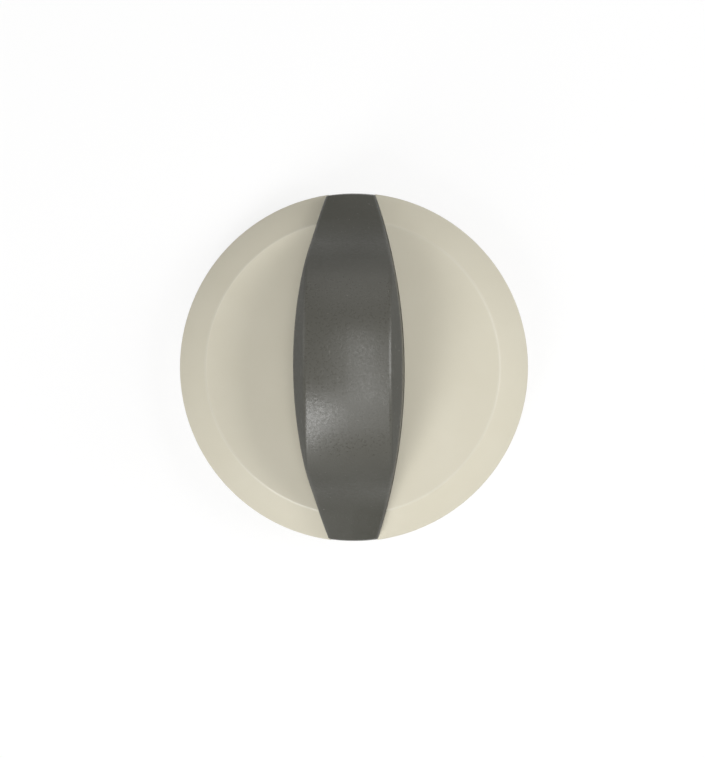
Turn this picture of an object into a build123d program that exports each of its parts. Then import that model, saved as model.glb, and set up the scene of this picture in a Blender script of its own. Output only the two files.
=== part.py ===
"""Control knob of a washing machine: a round dial cap with a grip bar snapped into it.

The underside of the rim lies on z = 0 and the shaft axis is +Z, towards the user.
The grip bar runs along Y. All sizes are in millimetres and all angles in degrees.
"""

import math
import os

from build123d import *

os.makedirs("parts", exist_ok=True)

# Dial cap, outside
rim_radius = 30.0
rim_draft = 1.0
skirt_height = 9.0
face_height = 12.5
ridge_radius = 24.85
band_bulge = 0.18
ridge_round = 0.4
edge_round = 0.5

# Dial cap, inside
cap_wall = 2.0
pocket_floor_height = 8.0
pocket_floor_thickness = 2.0
pocket_wall = 1.8
rib_thickness = 1.4
rib_angle = 42.0

# Grip bar, outside
bar_half_width = 8.85
bar_end_half_width = 3.8
bar_draft = 0.4
bar_end_draft = 8.0
crest_height = 29.5
crest_radius = 26.0
toe_height = 12.8
toe_angle = 30.0
flare_radius = 14.0
top_half_width = 6.85
crown_radius = 42.0
bevel_angle = 48.0
crease_round = 0.9
bar_edge_round = 0.8
bar_end_round = 0.4

# Grip bar, inside
bar_wall = 2.2
web_thickness = 1.6

# Shaft hub under the grip bar
hub_radius = 5.5
hub_mouth_height = 0.6
pilot_radius = 3.3
pilot_depth = 4.0
socket_radius = 3.05
socket_flat = 1.55
socket_depth = 14.0
slot_width = 1.2
slot_depth = 5.0

# Snap hooks of the grip bar
hook_spacing = 28.0
hook_width = 5.0
hook_reach = 0.9
hook_nose = 2.4

# Spring ring round the hub
spring_thickness = 0.5
spring_height = 3.4
spring_opening = 4.5
groove_depth = 0.3
groove_start = 0.9

# Share of a face's normal along an axis that tells a wall from a top
wall_limit = 0.3

# Clearances
pocket_clearance = 0.04
hub_clearance = 0.2
hook_clearance = 0.15
spring_clearance = 0.03

# Levels and places that follow from the sizes above
skirt_top_radius = rim_radius - skirt_height * math.tan(math.radians(rim_draft))
pocket_underside = pocket_floor_height - pocket_floor_thickness
room_height = face_height - cap_wall
bar_height = crest_height - pocket_floor_height
crown_drop = crown_radius - math.sqrt(crown_radius**2 - top_half_width**2)
bevel_drop = (bar_half_width - top_half_width) * math.tan(math.radians(bevel_angle))
toe_rise = math.tan(math.radians(toe_angle))
hub_drop = pocket_floor_height - hub_mouth_height
groove_radius = hub_radius - groove_depth
spring_radius = groove_radius + spring_clearance
groove_height = spring_height + 2 * spring_clearance
groove_level = hub_mouth_height + groove_start
hook_place = hook_spacing / 2
hook_catch = pocket_underside - hook_clearance
bar_end_radius = rim_radius - pocket_floor_height * math.tan(math.radians(rim_draft))
bar_end_lean = bar_height * math.tan(math.radians(bar_end_draft))

# Outline of the grip bar seen from the front: a lens with cut ends
with BuildSketch() as lens:
    with BuildLine():
        side = ThreePointArc(
            (bar_end_half_width, -rim_radius),
            (bar_half_width, 0),
            (bar_end_half_width, rim_radius),
        )
        Line(side @ 1, (-bar_end_half_width, rim_radius))
        mirror(side, about=Plane.YZ)
        Line((-bar_end_half_width, -rim_radius), side @ 0)
    make_face()

# Section of the dial cap's outside, from the shaft axis to the rim
with BuildSketch(Plane.XZ) as cap_section:
    with BuildLine():
        skirt_line = Line((rim_radius, 0), (skirt_top_radius, skirt_height))
        band_chord = Line(skirt_line @ 1, (ridge_radius, face_height), mode=Mode.PRIVATE)
        band_middle = band_chord @ 0.5 - (band_chord % 0.5).rotate(Axis.Z, 90) * band_bulge
        ThreePointArc(skirt_line @ 1, band_middle, band_chord @ 1)
        Polyline(band_chord @ 1, (0, face_height), (0, 0), skirt_line @ 0)
    make_face()
    fillet(cap_section.vertices().group_by(Axis.Y)[-1].sort_by(Axis.X)[-1], radius=ridge_round)
    fillet(cap_section.vertices().sort_by(Axis.X)[-2], radius=edge_round)

# Room under the dial cap, around the pocket and its ribs
with BuildPart() as cap_room:
    with BuildSketch(Plane.XZ):
        with BuildLine():
            Polyline(
                (0, 0),
                (rim_radius - cap_wall, 0),
                (skirt_top_radius - cap_wall, skirt_height - cap_wall / 2),
                (ridge_radius - cap_wall / 2, room_height),
                (0, room_height),
                close=True,
            )
        make_face()
    revolve(axis=Axis.Z)
    with BuildSketch(Plane.XY.offset(pocket_underside)):
        offset(lens.sketch, amount=pocket_clearance + pocket_wall)
        Rectangle(2 * rim_radius, rib_thickness, rotation=rib_angle)
        Rectangle(2 * rim_radius, rib_thickness, rotation=-rib_angle)
    extrude(amount=face_height, mode=Mode.SUBTRACT)

# Dial cap
with BuildPart() as dial_cap:
    add(cap_section.sketch)
    revolve(axis=Axis.Z)
    add(cap_room.part, mode=Mode.SUBTRACT)
    with BuildSketch(Plane.XY.offset(pocket_floor_height)):
        offset(lens.sketch, amount=pocket_clearance)
    extrude(amount=face_height, mode=Mode.SUBTRACT)
    with BuildSketch(Plane.XY.offset(pocket_underside)):
        Circle(hub_radius + hub_clearance)
        with Locations((0, hook_place - hook_reach / 2), (0, hook_reach / 2 - hook_place)):
            Rectangle(hook_width + 2 * hook_clearance, web_thickness + hook_reach + 2 * hook_clearance)
    extrude(amount=pocket_floor_thickness, mode=Mode.SUBTRACT)
dial_cap.part.label = "dial_cap"
export_step(dial_cap.part, "parts/dial_cap.step")

# Side view of the grip bar: a round crest that runs out into two sloping toes
with BuildSketch(Plane.YZ) as bar_profile:
    with Locations((0, crest_height - crest_radius)):
        Circle(crest_radius)
    with BuildLine():
        toe = Line((rim_radius, toe_height), (rim_radius / 2, toe_height + toe_rise * rim_radius / 2))
        other_toe = mirror(toe, about=Plane.YZ)
        Line(toe @ 1, other_toe @ 1)
        Polyline(
            toe @ 0,
            (rim_radius, pocket_floor_height),
            (-rim_radius, pocket_floor_height),
            other_toe @ 0,
        )
    make_face()
    with Locations((0, pocket_floor_height)):
        Rectangle(2 * rim_radius, 2 * crest_radius, align=(Align.CENTER, Align.MAX), mode=Mode.SUBTRACT)
    fillet(bar_profile.vertices().group_by(Axis.Y)[-1], radius=flare_radius)

# Room inside the grip bar, around its webs and its hub
with BuildPart() as bar_room:
    with BuildSketch(Plane.XY.offset(pocket_floor_height)):
        offset(lens.sketch, amount=-bar_wall)
    extrude(amount=bar_height, taper=bar_draft)
    with BuildSketch(Plane.YZ):
        offset(bar_profile.sketch_local, amount=-bar_wall)
        Rectangle(2 * rim_radius, 2 * (pocket_floor_height + bar_wall))
    extrude(amount=bar_half_width, both=True, mode=Mode.INTERSECT)
    with BuildSketch(Plane.XY.offset(pocket_floor_height)):
        Circle(hub_radius)
        Rectangle(web_thickness, 2 * rim_radius)
        with GridLocations(0, hook_spacing, 1, 2):
            Rectangle(2 * bar_half_width, web_thickness)
    extrude(amount=bar_height, mode=Mode.SUBTRACT)

# Upright block with the grip bar's walls, its ends carrying on the line of the skirt and leaning in
with BuildPart() as bar_block:
    with BuildSketch(Plane.XY.offset(pocket_floor_height)):
        add(lens.sketch)
    extrude(amount=bar_height, taper=bar_draft)
    with BuildSketch(Plane.XZ):
        with BuildLine():
            Polyline(
                (0, pocket_floor_height),
                (bar_end_radius, pocket_floor_height),
                (bar_end_radius - bar_end_lean, crest_height),
                (0, crest_height),
                close=True,
            )
        make_face()
    revolve(axis=Axis.Z, mode=Mode.INTERSECT)

# Grip bar
with BuildPart() as grip_bar:
    # Arched top: the side view carried along a crowned line that bends down into the bevel, then mirrored
    with BuildLine(Plane.XZ) as crown_line:
        crown = TangentArc((0, 0), (top_half_width, -crown_drop), tangent=(1, 0))
        Line(crown @ 1, (bar_half_width, -crown_drop - bevel_drop))
        fillet(crown_line.vertices().sort_by(Axis.X)[1], radius=crease_round)
    with BuildSketch(Plane.YZ):
        add(bar_profile.sketch_local)
    sweep(path=crown_line.line, normal=(1, 0, 0))
    mirror(about=Plane.YZ)
    add(bar_block.part, mode=Mode.INTERSECT)

    # Rounding of the top's long edges, then of its short edges at the two ends
    arch = grip_bar.faces().filter_by(lambda face: face.normal_at().Z > wall_limit)
    walls = grip_bar.faces().filter_by(lambda face: abs(face.normal_at().Z) < wall_limit)
    sides = walls.filter_by(lambda face: abs(face.normal_at().X) > wall_limit)
    fillet(arch.edges() & sides.edges(), radius=bar_edge_round)
    arch = grip_bar.faces().filter_by(lambda face: face.normal_at().Z > wall_limit)
    by_place = grip_bar.faces().sort_by(Axis.Y)
    fillet(arch.edges() & (by_place[0].edges() + by_place[-1].edges()), radius=bar_end_round)
    add(bar_room.part, mode=Mode.SUBTRACT)

    # Hub below the pocket floor, with the groove for the spring ring
    with BuildSketch(Plane.XY.offset(hub_mouth_height)):
        Circle(hub_radius)
    extrude(amount=hub_drop)
    with BuildSketch(Plane.XY.offset(groove_level)):
        Circle(hub_radius)
        Circle(groove_radius, mode=Mode.SUBTRACT)
    extrude(amount=groove_height, mode=Mode.SUBTRACT)

    # Round pilot at the hub's mouth, then the D-shaped socket, and the slots that let the hub spring
    with BuildSketch(Plane.XY.offset(hub_mouth_height)):
        Circle(pilot_radius)
    extrude(amount=pilot_depth, mode=Mode.SUBTRACT)
    with BuildSketch(Plane.XY.offset(hub_mouth_height + pilot_depth)):
        Circle(socket_radius)
        with Locations((0, socket_flat)):
            Rectangle(2 * socket_radius, socket_radius, align=(Align.CENTER, Align.MIN), mode=Mode.SUBTRACT)
    extrude(amount=socket_depth, mode=Mode.SUBTRACT)
    with BuildSketch(Plane.XY.offset(hub_mouth_height)):
        Rectangle(2 * hub_radius, slot_width)
    extrude(amount=slot_depth, mode=Mode.SUBTRACT)

    # Snap hooks, which run down from the cross webs and catch under the pocket floor
    with BuildSketch(Plane.YZ):
        with BuildLine():
            Polyline(
                (hook_place - web_thickness / 2, pocket_floor_height + web_thickness),
                (hook_place - web_thickness / 2, hook_catch - hook_nose),
                (hook_place + web_thickness / 2, hook_catch - hook_nose),
                (hook_place + web_thickness / 2 + hook_reach, hook_catch),
                (hook_place + web_thickness / 2, hook_catch),
                (hook_place + web_thickness / 2, pocket_floor_height + web_thickness),
                close=True,
            )
        make_face()
        mirror(about=Plane.YZ)
    extrude(amount=hook_width / 2, both=True)
grip_bar.part.label = "grip_bar"
export_step(grip_bar.part, "parts/grip_bar.step")

# Spring ring, an open hoop of flat strip
with BuildPart() as hub_spring:
    with BuildSketch(Plane.XY.offset(groove_level + spring_clearance)):
        Circle(spring_radius + spring_thickness)
        Circle(spring_radius, mode=Mode.SUBTRACT)
        Rectangle(spring_opening, rim_radius, align=(Align.CENTER, Align.MAX), mode=Mode.SUBTRACT)
    extrude(amount=spring_height)
hub_spring.part.label = "hub_spring"
export_step(hub_spring.part, "parts/hub_spring.step")
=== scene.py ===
# %% [markdown]
# # A washing machine knob
# The knob comes apart into three pieces: a cream dial cap, a dark grey grip bar that snaps across it,
# and a ring of spring steel round the hub underneath. Their exact shapes come with the frame and are
# never moved here. This lesson gives them their finishes, and sets up a soft studio and a camera.
# All lengths are in metres, and the knob's own axis is +Z, towards the person who turns it.

import math

import bpy
import numpy as np
from mathutils import Matrix, Vector


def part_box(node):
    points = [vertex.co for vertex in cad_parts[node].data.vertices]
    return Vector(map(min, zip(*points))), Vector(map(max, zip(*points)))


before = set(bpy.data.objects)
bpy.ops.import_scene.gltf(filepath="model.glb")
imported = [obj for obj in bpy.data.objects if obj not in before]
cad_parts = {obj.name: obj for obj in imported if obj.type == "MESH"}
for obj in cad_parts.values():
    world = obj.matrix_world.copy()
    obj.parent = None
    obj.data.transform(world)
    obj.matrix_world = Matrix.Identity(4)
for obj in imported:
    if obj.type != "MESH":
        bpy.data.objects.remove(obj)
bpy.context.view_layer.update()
MM = 0.001
scene = bpy.context.scene
scene.view_settings.view_transform = "Standard"

# %% [markdown]
# ## Places on the knob
# The camera has to know where the rim is, the floor how wide the knob stands, and the cream finish where
# the ridge runs. All can be read from the dial cap's own box: the cap is as wide as its rim and as high
# as its flat face. The outline that the camera sees is the rounded top of the skirt, a little inside the
# rim and below the face. The ridge lies at the inner end of the sloping band.

# %% Places on the knob
outline_inset = 0.15 * MM
outline_drop = 3.5 * MM
band_width = 5.15 * MM

_, cap_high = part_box("dial_cap")
rim_radius = cap_high.x
edge_radius = rim_radius - outline_inset
edge_height = cap_high.z - outline_drop
ridge_radius = rim_radius - band_width
print("rim", round(rim_radius / MM, 2), "mm, outline at a height of", round(edge_height / MM, 2), "mm")

# %% [markdown]
# ## The camera
# The knob is seen from the front, from 24 cm away and a touch from its right-hand side. A camera that
# close has a strong perspective: the crest of the bar, which stands nearer, looks wider than the rim.
# So the distance is chosen first, and the lens follows from how large the disc has to be in the
# picture, whose longer side, the height, fills the sensor. The camera's three axes are worked out with
# cross products, because a tracking helper can't tell which way is up when it looks straight down.

# %% The camera
picture_width, picture_height = 705, 758
disc_radius_px = 174.4
disc_centre_px = Vector((353.0, 367.4))
camera_distance = 240 * MM
camera_lean = 0.046
camera_roll = 0.007

px_size = edge_radius / disc_radius_px
middle = Vector((0, 0, edge_height))
eye = middle + camera_distance * Vector((camera_lean, 0, 1))
off_centre = Vector((picture_width, picture_height)) / 2 - disc_centre_px
aim = middle + px_size * Vector((off_centre.x, -off_centre.y, 0))

forward = (aim - eye).normalized()
right = forward.cross(Vector((math.sin(camera_roll), math.cos(camera_roll), 0))).normalized()
upward = right.cross(forward)

lens_data = bpy.data.cameras.new("front_camera")
lens_data.lens = (eye - middle).length / px_size * lens_data.sensor_width / picture_height
lens_data.clip_start = 1 * MM
camera = bpy.data.objects.new("front_camera", lens_data)
camera.matrix_world = Matrix.Translation(eye) @ Matrix((right, upward, -forward)).transposed().to_4x4()
scene.collection.objects.link(camera)
scene.camera = camera
print("lens", round(lens_data.lens, 1), "mm")

# %% [markdown]
# ## Lamps
# The light is a quiet room: a dim even sky, and a few broad lamps. The one to the right lifts that half
# of the face, and the tall narrow one towards the lower left, a window, leaves the glint on the bar and
# the bright line on the ridge. The one overhead is long in the direction of the bar, for a soft sheen on
# its crest. One below reaches only the hollow back, through the opening in the floor. A lamp's place is
# easiest to give as on a globe, by its azimuth and elevation in degrees. Its distance, width, height and
# power follow, in metres and watts.

# %% Lamps
lamps = (
    ("lamp_overhead", 6, 85, 0.80, 0.75, 0.18, 1.42),
    ("lamp_right", 6, 42, 0.60, 0.35, 0.35, 1.86),
    ("lamp_left", 160, 27, 0.60, 0.35, 0.35, 0.36),
    ("lamp_upper", 90, 28, 0.60, 0.35, 0.35, 0.26),
    ("lamp_lower", 274, 57, 0.60, 0.35, 0.35, 0.57),
    ("lamp_window", 239, 41, 0.45, 0.14, 0.30, 0.92),
    ("lamp_below", 300, -62, 0.50, 0.40, 0.40, 1.00),
)


def softbox(name, azimuth, elevation, distance, width, height, power):
    """A lamp on a globe round the knob: azimuth runs from +X towards +Y, elevation up from the floor."""
    turn, rise = math.radians(azimuth), math.radians(elevation)
    outwards = Vector((math.cos(rise) * math.cos(turn), math.cos(rise) * math.sin(turn), math.sin(rise)))
    lamp = bpy.data.lights.new(name, "AREA")
    lamp.shape = "RECTANGLE"
    lamp.size = width
    lamp.size_y = height
    lamp.energy = power
    holder = bpy.data.objects.new(name, lamp)
    holder.location = middle + distance * outwards
    holder.rotation_euler = (-outwards).to_track_quat("-Z", "Y").to_euler()
    scene.collection.objects.link(holder)


for lamp_values in lamps:
    softbox(*lamp_values)

# %% [markdown]
# ## Building nodes
# A finish is a tree of shader nodes. Making a node, setting its properties and feeding its inputs takes
# several lines each time, so one small helper does all three: a feed may be a plain value or the output
# of another node.


# %% Building nodes
def add_node(tree, kind, feeds=None, **settings):
    """Adds one shader node: settings are its own properties, feeds its inputs by name or by number."""
    made = tree.nodes.new("ShaderNode" + kind)
    for name, value in settings.items():
        setattr(made, name, value)
    for name, value in (feeds or {}).items():
        if isinstance(value, bpy.types.NodeSocket):
            tree.links.new(value, made.inputs[name])
        else:
            made.inputs[name].default_value = value
    return made


def mixed_colour(tree, share, first, second):
    """The colour between first and second, where a share of 0 gives the first and 1 the second."""
    feeds = {0: share, 6: first, 7: second}
    return add_node(tree, "Mix", feeds, data_type="RGBA").outputs[2]


def stretched(tree, value, low, high, to_low=0.0, to_high=1.0):
    """The value, with the stretch low to high spread over the stretch to_low to to_high, and clamped."""
    feeds = {"Value": value, "From Min": low, "From Max": high, "To Min": to_low, "To Max": to_high}
    return add_node(tree, "MapRange", feeds).outputs[0]


def worked_out(tree, operation, first, second):
    """The result of one sum on two values, such as MULTIPLY or SUBTRACT."""
    return add_node(tree, "Math", {0: first, 1: second}, operation=operation).outputs[0]


print("helpers ready for the finishes")

# %% [markdown]
# ## The sky
# An even sky fills the shadows, as the walls of a room do. It is dim, a little warm and the same from
# every side, so it needs no more than one Background node.

# %% The sky
sky_strength = 0.06
sky_colour = (1.0, 0.97, 0.91, 1)

world = bpy.data.worlds.new("quiet_room")
scene.world = world
world.use_nodes = True
even_sky = world.node_tree.nodes["Background"].inputs
even_sky["Color"].default_value = sky_colour
even_sky["Strength"].default_value = sky_strength
print("sky strength", sky_strength)

# %% [markdown]
# ## The floor
# The knob lies on a plain white sheet that sweeps up far away, as a photographer's paper does. A profile
# carried round the knob's axis gives it: its rings grow by equal ratios, so that the faces are small near
# the knob and large far away. The opening is a hair narrower than the rim, which covers it, and lets
# light reach the hollow back when the knob is seen from below.


# %% The floor
def swept_sheet(inner, outer, level, rise, flat_share, rings, spokes):
    """Points and faces of a round sheet, on a grid of rings and spokes.

    Along a spoke the radius grows by equal ratios, radius = inner * (outer / inner) ** u. The height stays
    at the level for u up to flat_share, and then climbs by rise with the square of the rest. Round a ring
    the angle is a full turn times v.
    """
    u, v = np.meshgrid(np.linspace(0, 1, rings + 1), np.arange(spokes) / spokes, indexing="ij")
    radius = inner * (outer / inner) ** u
    angle = 2 * np.pi * v
    climb = np.clip(u - flat_share, 0, None) / (1 - flat_share)
    height = level + rise * climb**2
    points = np.stack((radius * np.cos(angle), radius * np.sin(angle), height), axis=-1)
    here = np.arange(u.size).reshape(u.shape)
    beside = np.roll(here, -1, axis=1)
    faces = np.stack((here[:-1], here[1:], beside[1:], beside[:-1]), axis=-1)
    return points.reshape(-1, 3).tolist(), faces.reshape(-1, 4).tolist()


floor_level = -0.02 * MM
floor_overlap = 0.06 * MM
floor_opening = rim_radius - floor_overlap
floor_reach = 4.0
floor_rise = 1.2
floor_flat_share = 0.8
floor_rings = 40
floor_spokes = 96

floor_points, floor_faces = swept_sheet(
    floor_opening, floor_reach, floor_level, floor_rise, floor_flat_share, floor_rings, floor_spokes
)
floor_mesh = bpy.data.meshes.new("floor_sheet")
floor_mesh.from_pydata(floor_points, [], floor_faces)
floor_mesh.shade_smooth()
floor = bpy.data.objects.new("floor_sheet", floor_mesh)
scene.collection.objects.link(floor)
print("floor:", len(floor_faces), "faces, opening", round(floor_opening / MM, 2), "mm in radius")

# %% [markdown]
# ## White paper
# For the camera, and in mirror-like surfaces, the paper is mostly plain white, with a share of true
# shading left in for the knob's shadow. The Light Path node tells those rays from the ones that only
# light the knob, for which the paper is an ordinary pale surface. From below the paper is clear.

# %% White paper
paper_whiteness = 0.78
paper_colour = (0.86, 0.86, 0.86, 1)
glow_colour = (1, 1, 1, 1)
glow_strength = 1.04

paper = bpy.data.materials.new("white_paper")
paper.use_nodes = True
tree = paper.node_tree
pale = tree.nodes["Principled BSDF"]
pale.inputs["Base Color"].default_value = paper_colour
pale.inputs["Roughness"].default_value = 0.9
pale.inputs["Specular IOR Level"].default_value = 0.2

ray = add_node(tree, "LightPath").outputs
seen = worked_out(tree, "MAXIMUM", ray["Is Camera Ray"], ray["Is Glossy Ray"])
seen = worked_out(tree, "MAXIMUM", seen, ray["Is Transmission Ray"])
glow_share = worked_out(tree, "MULTIPLY", seen, paper_whiteness)
glow = add_node(tree, "Emission", {"Color": glow_colour, "Strength": glow_strength})
above = add_node(tree, "MixShader", {0: glow_share, 1: pale.outputs[0], 2: glow.outputs[0]})
clear = add_node(tree, "BsdfTransparent")
back_side = add_node(tree, "NewGeometry").outputs["Backfacing"]
both_sides = add_node(tree, "MixShader", {0: back_side, 1: above.outputs[0], 2: clear.outputs[0]})
tree.links.new(both_sides.outputs[0], tree.nodes["Material Output"].inputs["Surface"])
floor_mesh.materials.append(paper)
print("white paper:", len(tree.nodes), "nodes")

# %% [markdown]
# ## Shared effects
# Four effects turn up on more than one of the knob's finishes, so each is a node group that is built
# once and placed in a material with its own values:
#
# - the grain that a spark-eroded mould leaves on plastic, with slow clouds in its colour,
# - the wear of handled edges,
# - stray specks in the plastic or on it,
# - hairlines from years of hands and cleaning.
#
# A group's inputs are lengths in metres where they can be, because a maker knows that a grain is a
# third of a millimetre wide, but not what that is as a texture's scale.


# %% Shared effects
def new_group(name, inputs, outputs):
    """An empty node group with named sockets, and its input and output nodes."""
    group = bpy.data.node_groups.new(name, "ShaderNodeTree")
    for label, kind in inputs.items():
        group.interface.new_socket(label, in_out="INPUT", socket_type="NodeSocket" + kind)
    for label in outputs:
        group.interface.new_socket(label, in_out="OUTPUT", socket_type="NodeSocketFloat")
    return group, group.nodes.new("NodeGroupInput").outputs, group.nodes.new("NodeGroupOutput").inputs


def per_length(tree, length):
    """One over a length: a texture's scale from the size of its pattern."""
    return worked_out(tree, "DIVIDE", 1.0, length)


print("group helper ready")

# %% [markdown]
# ### Mould grain
# The face of a mould for satin plastic is eroded by sparks, which leaves tiny soft pits. Fine noise gives
# their height, and a much coarser noise gives the clouds where the plastic flowed a little differently.

# %% Mould grain
mould_grain, given, result = new_group(
    "Mould grain",
    {"Vector": "Vector", "Grain Size": "Float", "Cloud Size": "Float"},
    ("Height", "Clouds"),
)
pits = add_node(
    mould_grain,
    "TexNoise",
    {"Vector": given["Vector"], "Scale": per_length(mould_grain, given["Grain Size"]), "Detail": 2.0},
)
clouds = add_node(
    mould_grain,
    "TexNoise",
    {"Vector": given["Vector"], "Scale": per_length(mould_grain, given["Cloud Size"]), "Detail": 3.0},
)
mould_grain.links.new(pits.outputs[0], result["Height"])
mould_grain.links.new(stretched(mould_grain, clouds.outputs[0], 0.3, 0.7), result["Clouds"])
print("Mould grain:", len(mould_grain.nodes), "nodes")

# %% [markdown]
# ### Handled edges
# Fingers polish the edges first. The Bevel node looks round each point and gives the normal of a rounded
# edge, so where that normal turns away from the surface's own, an edge is near. Noise breaks the line up,
# because real wear is never even.

# %% Handled edges
handled_edges, given, result = new_group(
    "Handled edges",
    {"Vector": "Vector", "Reach": "Float", "Patch Size": "Float"},
    ("Wear",),
)
rounded = add_node(handled_edges, "Bevel", {"Radius": given["Reach"]}, samples=6)
own_normal = add_node(handled_edges, "NewGeometry").outputs["Normal"]
agreement = add_node(
    handled_edges, "VectorMath", {0: rounded.outputs[0], 1: own_normal}, operation="DOT_PRODUCT"
)
edge_near = stretched(handled_edges, agreement.outputs["Value"], 0.985, 0.86)
patches = add_node(
    handled_edges,
    "TexNoise",
    {"Vector": given["Vector"], "Scale": per_length(handled_edges, given["Patch Size"]), "Detail": 3.0},
)
patchy = stretched(handled_edges, patches.outputs[0], 0.32, 0.68, 0.25, 1.0)
handled_edges.links.new(worked_out(handled_edges, "MULTIPLY", edge_near, patchy), result["Wear"])
print("Handled edges:", len(handled_edges.nodes), "nodes")

# %% [markdown]
# ### Stray specks
# A speck is a small round spot. Voronoi cells give every spot a place of its own and a random number, and
# only the cells whose number is below the share get a speck, so that the spots don't form a pattern.

# %% Stray specks
stray_specks, given, result = new_group(
    "Stray specks",
    {"Vector": "Vector", "Spacing": "Float", "Share": "Float", "Speck Size": "Float"},
    ("Specks",),
)
cells = add_node(
    stray_specks,
    "TexVoronoi",
    {"Vector": given["Vector"], "Scale": per_length(stray_specks, given["Spacing"])},
)
core_share = 0.4
reach = worked_out(stray_specks, "DIVIDE", given["Speck Size"], given["Spacing"])
core = worked_out(stray_specks, "MULTIPLY", reach, core_share)
spot = stretched(stray_specks, cells.outputs["Distance"], reach, core)
number = add_node(stray_specks, "SeparateColor", {0: cells.outputs["Color"]}).outputs[0]
chosen = worked_out(stray_specks, "LESS_THAN", number, given["Share"])
stray_specks.links.new(worked_out(stray_specks, "MULTIPLY", spot, chosen), result["Specks"])
print("Stray specks:", len(stray_specks.nodes), "nodes")

# %% [markdown]
# ### Hairlines
# A hairline is long in one direction and very narrow in the others. The same noise that makes round
# clouds makes hairlines when its coordinates are stretched, and only its highest crests count.

# %% Hairlines
hairlines, given, result = new_group(
    "Hairlines",
    {"Vector": "Vector", "Length": "Float", "Width": "Float", "Crest": "Float"},
    ("Lines",),
)
across = per_length(hairlines, given["Width"])
along = per_length(hairlines, given["Length"])
thinning = add_node(hairlines, "CombineXYZ", {0: across, 1: along, 2: across})
squeezed = add_node(
    hairlines, "VectorMath", {0: given["Vector"], 1: thinning.outputs[0]}, operation="MULTIPLY"
)
streaks = add_node(hairlines, "TexNoise", {"Vector": squeezed.outputs[0], "Scale": 1.0, "Detail": 1.0})
crest_height = 0.06
crest_top = worked_out(hairlines, "ADD", given["Crest"], crest_height)
hairlines.links.new(stretched(hairlines, streaks.outputs[0], given["Crest"], crest_top), result["Lines"])
print("Hairlines:", len(hairlines.nodes), "nodes")

# %% [markdown]
# ## Dressing a piece
# The pieces keep their shapes, and only the material in their slot changes. Every finish starts with a
# Principled shader and the piece's own coordinates, which stay with the piece wherever it goes.


# %% Dressing a piece
def new_finish(name):
    """A new material, with its node tree, its shader's inputs and the piece's own coordinates."""
    material = bpy.data.materials.new(name)
    material.use_nodes = True
    tree = material.node_tree
    place = add_node(tree, "TexCoord").outputs["Object"]
    return material, tree, tree.nodes["Principled BSDF"].inputs, place


def dress(node_name, material):
    """Puts the material in every slot of a piece of the frame."""
    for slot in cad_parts[node_name].material_slots:
        slot.material = material
    print(node_name, "wears", material.name, "with", len(material.node_tree.nodes), "nodes")


# %% [markdown]
# ## Cream plastic
# The cap is moulded in a warm cream with a fine satin grain. Its colour is nearly even, with faint clouds
# and a dark speck here and there. The ridge round the face is the first thing a finger meets, so it is
# smoother, and shows a bright line where a lamp is mirrored in it; its paler colour is partly wear and
# partly a painted highlight along that line. It is too blunt for the Bevel node, so its distance from the
# knob's axis gives it away. The corner along the bar is painted darker as shade, where the Ambient
# Occlusion node finds such corners.

# %% Cream plastic
deep_cream = (0.655, 0.617, 0.496, 1)
pale_cream = (0.675, 0.638, 0.520, 1)
# Paler colour of the ridge and edges: partly wear, partly a painted highlight along the ridge.
rubbed_and_highlit_cream = (0.72, 0.69, 0.59, 1)
# Colour of the painted shade in the corner along the bar.
corner_shade_brown = (0.20, 0.185, 0.135, 1)
speck_brown = (0.16, 0.14, 0.11, 1)
ridge_core = 0.12 * MM
ridge_reach = 0.30 * MM
most_corner_shade = 0.15
rub_and_highlight_share = 0.5
speck_share = 0.6
ridge_polish = 0.37

cream, tree, shader, place = new_finish("cream_plastic")
grain = add_node(
    tree, "Group", {"Vector": place, "Grain Size": 0.30 * MM, "Cloud Size": 9 * MM}, node_tree=mould_grain
).outputs
wear = add_node(
    tree, "Group", {"Vector": place, "Reach": 0.5 * MM, "Patch Size": 2.5 * MM}, node_tree=handled_edges
).outputs["Wear"]
specks = add_node(
    tree,
    "Group",
    {"Vector": place, "Spacing": 4 * MM, "Share": 0.05, "Speck Size": 0.16 * MM},
    node_tree=stray_specks,
).outputs["Specks"]
corner = add_node(tree, "AmbientOcclusion", {"Distance": 0.9 * MM}, samples=6).outputs["AO"]
# Painted shade: the face turns darker brown where the Ambient Occlusion node finds the corner along the
# bar.
corner_shade = stretched(tree, corner, 0.65, 0.4, 0.0, most_corner_shade)

flat_place = add_node(tree, "VectorMath", {0: place, 1: (1, 1, 0)}, operation="MULTIPLY").outputs[0]
from_axis = add_node(tree, "VectorMath", {0: flat_place}, operation="LENGTH").outputs["Value"]
from_ridge = worked_out(tree, "SUBTRACT", from_axis, ridge_radius)
off_ridge = add_node(tree, "Math", {0: from_ridge}, operation="ABSOLUTE").outputs[0]
on_ridge = stretched(tree, off_ridge, ridge_reach, ridge_core)
ridge_rub_and_highlight = worked_out(tree, "MULTIPLY", on_ridge, stretched(tree, grain["Clouds"], 0.0, 1.0, 0.5, 1.0))
handled_and_highlit = worked_out(tree, "MAXIMUM", ridge_rub_and_highlight, wear)

colour = mixed_colour(tree, grain["Clouds"], deep_cream, pale_cream)
# Painted highlight and wear: the ridge and the worn edges are painted paler.
colour = mixed_colour(tree, worked_out(tree, "MULTIPLY", handled_and_highlit, rub_and_highlight_share), colour, rubbed_and_highlit_cream)
colour = mixed_colour(tree, corner_shade, colour, corner_shade_brown)
colour = mixed_colour(tree, worked_out(tree, "MULTIPLY", specks, speck_share), colour, speck_brown)
tree.links.new(colour, shader["Base Color"])

matt = stretched(tree, grain["Clouds"], 0.0, 1.0, 0.57, 0.63)
polished = worked_out(tree, "MULTIPLY", handled_and_highlit, ridge_polish)
tree.links.new(worked_out(tree, "SUBTRACT", matt, polished), shader["Roughness"])
relief = add_node(tree, "Bump", {"Strength": 0.5, "Distance": 0.02 * MM, "Height": grain["Height"]})
tree.links.new(relief.outputs[0], shader["Normal"])
dress("dial_cap", cream)
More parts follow.
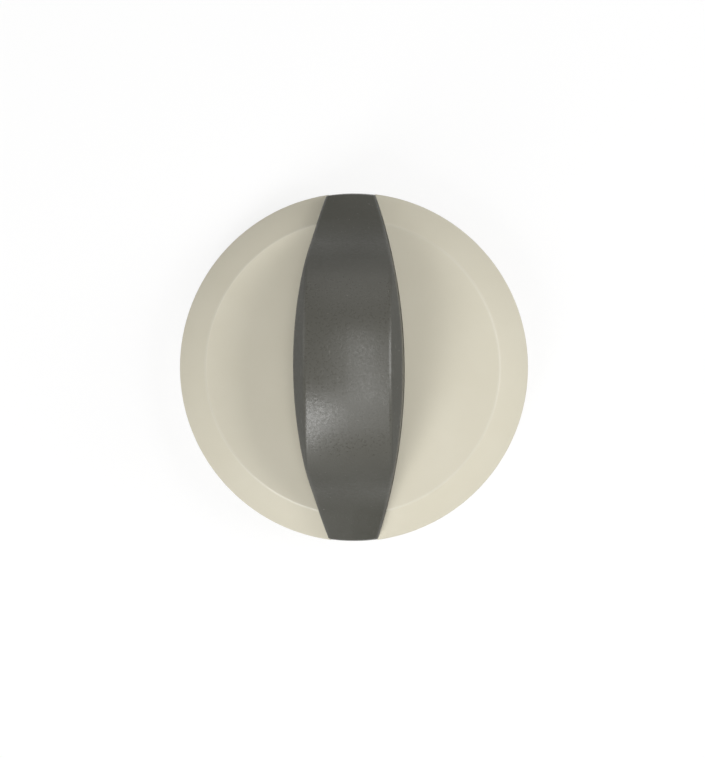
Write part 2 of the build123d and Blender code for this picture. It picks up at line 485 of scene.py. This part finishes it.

# %% [markdown]
# ## Dark grey plastic
# The bar is the part that is held, so it shows its age. Its crest is smoother than the two ends and the
# bevelled sides, which fingers hardly touch. The crest's upward-facing top is also painted paler, partly
# as wear and partly as painted light where the lamps fall on it, while the ends and sides keep the dark
# matt grey of the mould. How far a point lies from the middle, and which way it faces, tell the two apart.
# There are a few pale specks and short hairlines too, and the edges are worn paler. The grain works
# twice, as relief and as a change of roughness, and that gives the glint its fine sparkle.

# %% Dark grey plastic
deep_grey = (0.053, 0.052, 0.041, 1)
pale_grey = (0.063, 0.062, 0.050, 1)
# Paler grey of the crest's top: partly wear, partly painted light where the lamps fall on it.
rubbed_and_lit_grey = (0.101, 0.099, 0.085, 1)
worn_grey = (0.15, 0.15, 0.14, 1)
mark_grey = (0.30, 0.29, 0.26, 1)
paler_to = 12 * MM
darkest_from = 22 * MM
edge_share = 0.25
line_share = 0.6
mark_share = 0.4
crest_polish = 0.13

grey, tree, shader, place = new_finish("grey_plastic")
grain = add_node(
    tree, "Group", {"Vector": place, "Grain Size": 0.42 * MM, "Cloud Size": 7 * MM}, node_tree=mould_grain
).outputs
wear = add_node(
    tree, "Group", {"Vector": place, "Reach": 0.4 * MM, "Patch Size": 2 * MM}, node_tree=handled_edges
).outputs["Wear"]
specks = add_node(
    tree,
    "Group",
    {"Vector": place, "Spacing": 1.6 * MM, "Share": 0.12, "Speck Size": 0.13 * MM},
    node_tree=stray_specks,
).outputs["Specks"]
lines = add_node(
    tree,
    "Group",
    {"Vector": place, "Length": 2.0 * MM, "Width": 0.20 * MM, "Crest": 0.72},
    node_tree=hairlines,
).outputs["Lines"]

lengthwise = add_node(tree, "SeparateXYZ", {0: place}).outputs["Y"]
far_out = add_node(tree, "Math", {0: lengthwise}, operation="ABSOLUTE").outputs[0]
facing = add_node(tree, "SeparateXYZ", {0: add_node(tree, "TexCoord").outputs["Normal"]}).outputs["Z"]
# Painted light and wear: the crest's upward-facing top is painted paler than the ends and sides.
on_crest = stretched(tree, far_out, darkest_from, paler_to)
on_top = stretched(tree, facing, 0.72, 0.84)
rubbed_and_lit = worked_out(tree, "MULTIPLY", on_crest, on_top)

colour = mixed_colour(tree, grain["Clouds"], deep_grey, pale_grey)
# The crest's top gets the paler grey: partly wear, partly painted light.
colour = mixed_colour(tree, rubbed_and_lit, colour, rubbed_and_lit_grey)
colour = mixed_colour(tree, worked_out(tree, "MULTIPLY", wear, edge_share), colour, worn_grey)
marks = worked_out(tree, "MAXIMUM", specks, worked_out(tree, "MULTIPLY", lines, line_share))
colour = mixed_colour(tree, worked_out(tree, "MULTIPLY", marks, mark_share), colour, mark_grey)
tree.links.new(colour, shader["Base Color"])

satin = stretched(tree, grain["Height"], 0.3, 0.7, 0.36, 0.52)
polished = worked_out(tree, "MULTIPLY", rubbed_and_lit, crest_polish)
tree.links.new(worked_out(tree, "SUBTRACT", satin, polished), shader["Roughness"])
relief = add_node(tree, "Bump", {"Strength": 0.8, "Distance": 0.030 * MM, "Height": grain["Height"]})
tree.links.new(relief.outputs[0], shader["Normal"])
shader["Specular IOR Level"].default_value = 0.55
dress("grip_bar", grey)

# %% [markdown]
# ## Spring steel
# The ring round the hub is cut from rolled strip, so fine lines run round it. Noise that changes quickly
# along the axis and slowly across it draws them, and the same noise makes the lines rougher than the
# metal between them.

# %% Spring steel
bright_steel = (0.56, 0.57, 0.59, 1)
line_steel = (0.47, 0.48, 0.50, 1)
worn_steel = (0.70, 0.70, 0.71, 1)
wear_share = 0.5

steel, tree, shader, place = new_finish("spring_steel")
rolled = add_node(tree, "Mapping", {"Vector": place, "Rotation": (math.radians(90), 0, 0)}).outputs[0]
lines = add_node(
    tree,
    "Group",
    {"Vector": rolled, "Length": 0.09 * MM, "Width": 5 * MM, "Crest": 0.5},
    node_tree=hairlines,
).outputs["Lines"]
wear = add_node(
    tree, "Group", {"Vector": place, "Reach": 0.15 * MM, "Patch Size": 1 * MM}, node_tree=handled_edges
).outputs["Wear"]
colour = mixed_colour(tree, lines, bright_steel, line_steel)
colour = mixed_colour(tree, worked_out(tree, "MULTIPLY", wear, wear_share), colour, worn_steel)
tree.links.new(colour, shader["Base Color"])
tree.links.new(stretched(tree, lines, 0.0, 1.0, 0.24, 0.38), shader["Roughness"])
shader["Metallic"].default_value = 1.0
relief = add_node(tree, "Bump", {"Strength": 0.3, "Distance": 0.01 * MM, "Height": lines})
tree.links.new(relief.outputs[0], shader["Normal"])
dress("hub_spring", steel)
